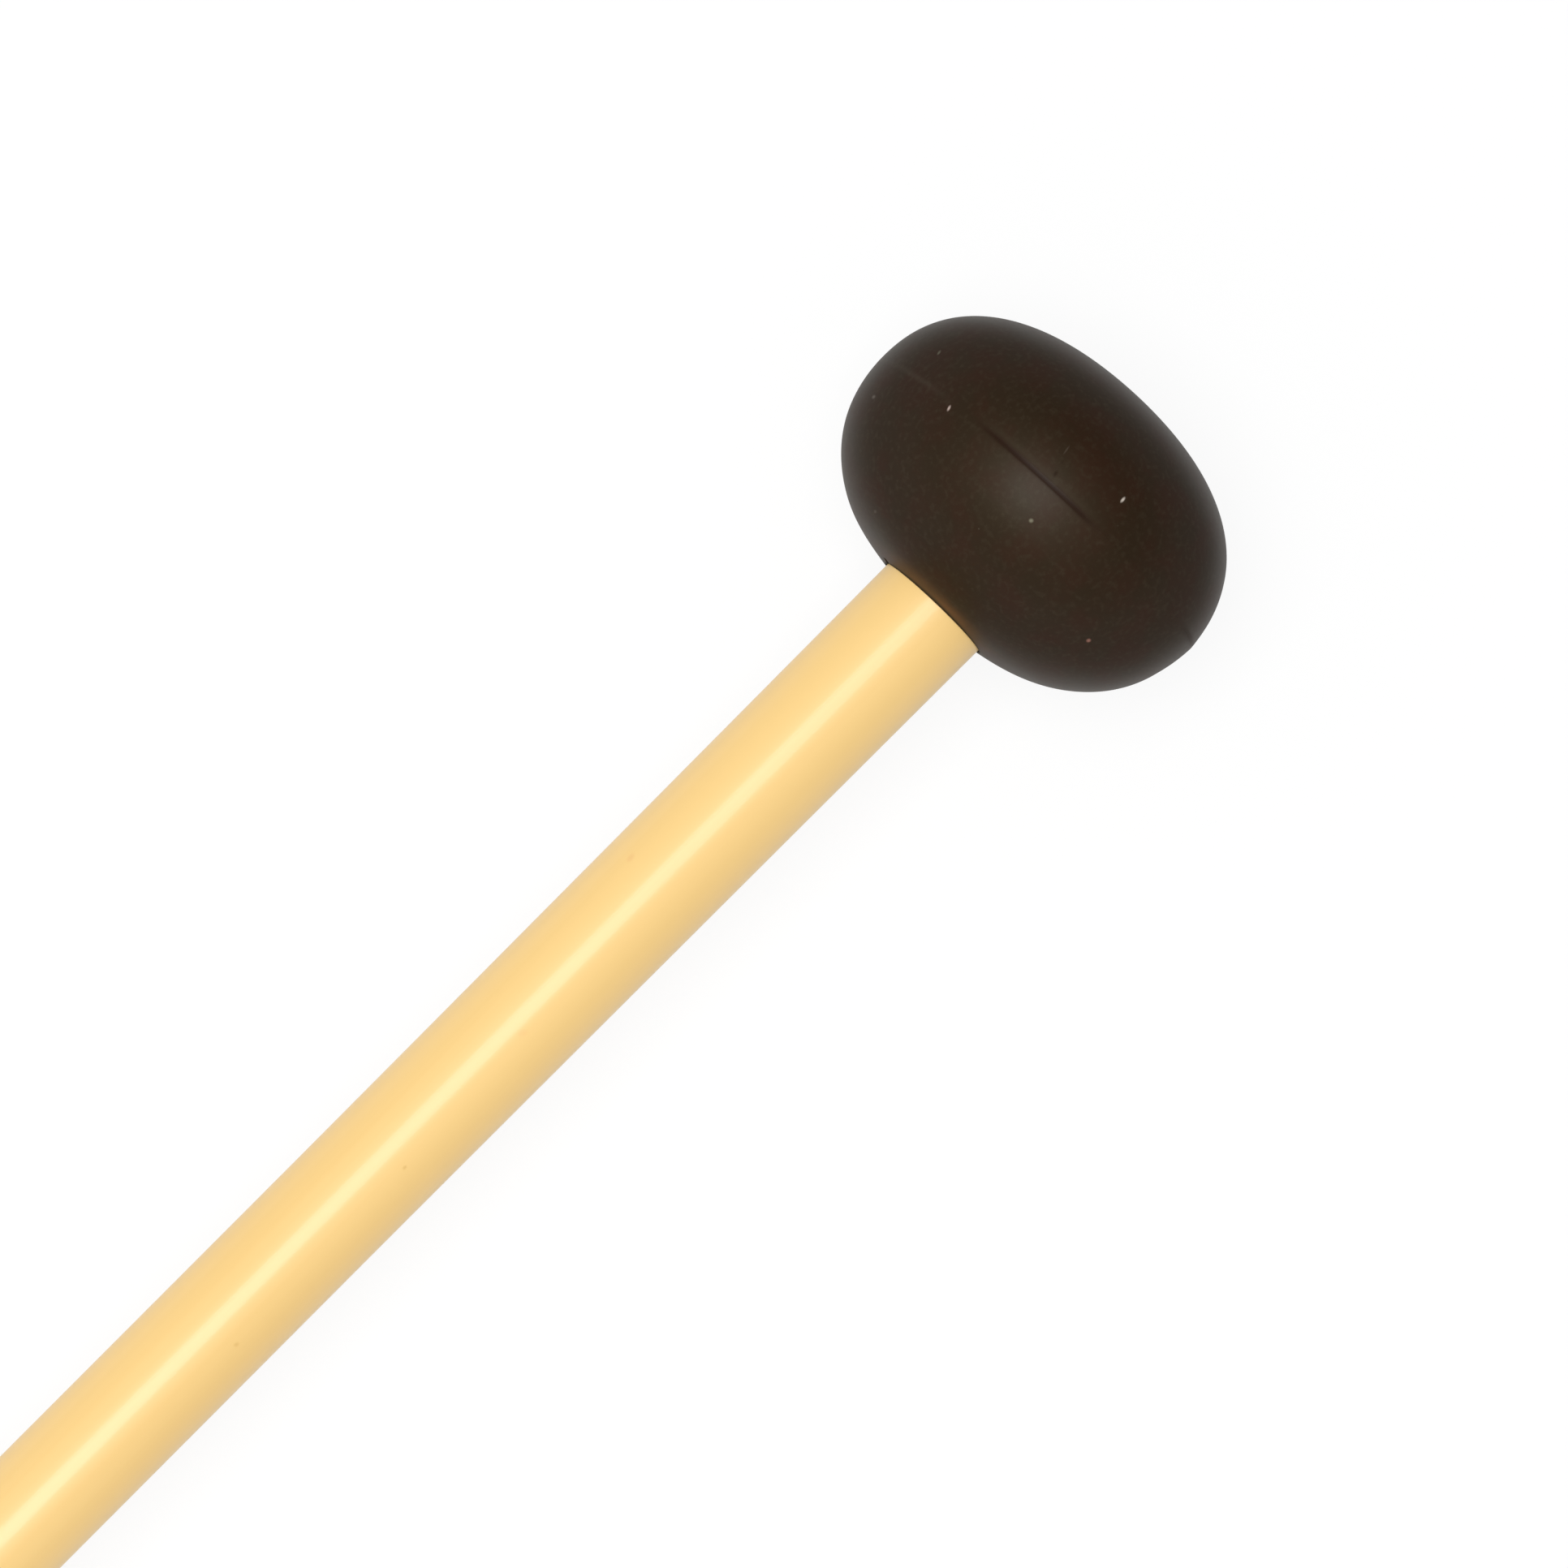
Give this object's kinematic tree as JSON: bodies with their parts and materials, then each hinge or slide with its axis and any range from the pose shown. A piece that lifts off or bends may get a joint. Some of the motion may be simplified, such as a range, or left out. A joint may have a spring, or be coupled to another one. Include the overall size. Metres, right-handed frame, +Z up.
{
  "type": "keyboard percussion mallet",
  "caption": "Mallet for xylophone or bells: a moulded oval rubber head bonded to a slim lacquered wooden shaft.",
  "frame": {"origin": "on the surface that the mallet lies on, under the middle of its bounding box", "axes": "+X from the butt of the shaft to the tip of the head, +Z up; the mallet lies on the rim of its head and on its butt, so its shaft rises 1.55 degrees towards the head"},
  "size_m": [0.38, 0.028, 0.028],
  "materials": {
    "rubber": "satin, very dark brown, moulded",
    "lacquered_birch": "clear semi-gloss lacquer over pale cream-yellow wood",
    "adhesive": "cured clear amber adhesive, hidden in the head"
  },
  "bodies": {
    "root": {"rubber_head": "rubber", "shaft": "lacquered_birch", "adhesive_plug": "adhesive"}
  },
  "joints": []
}
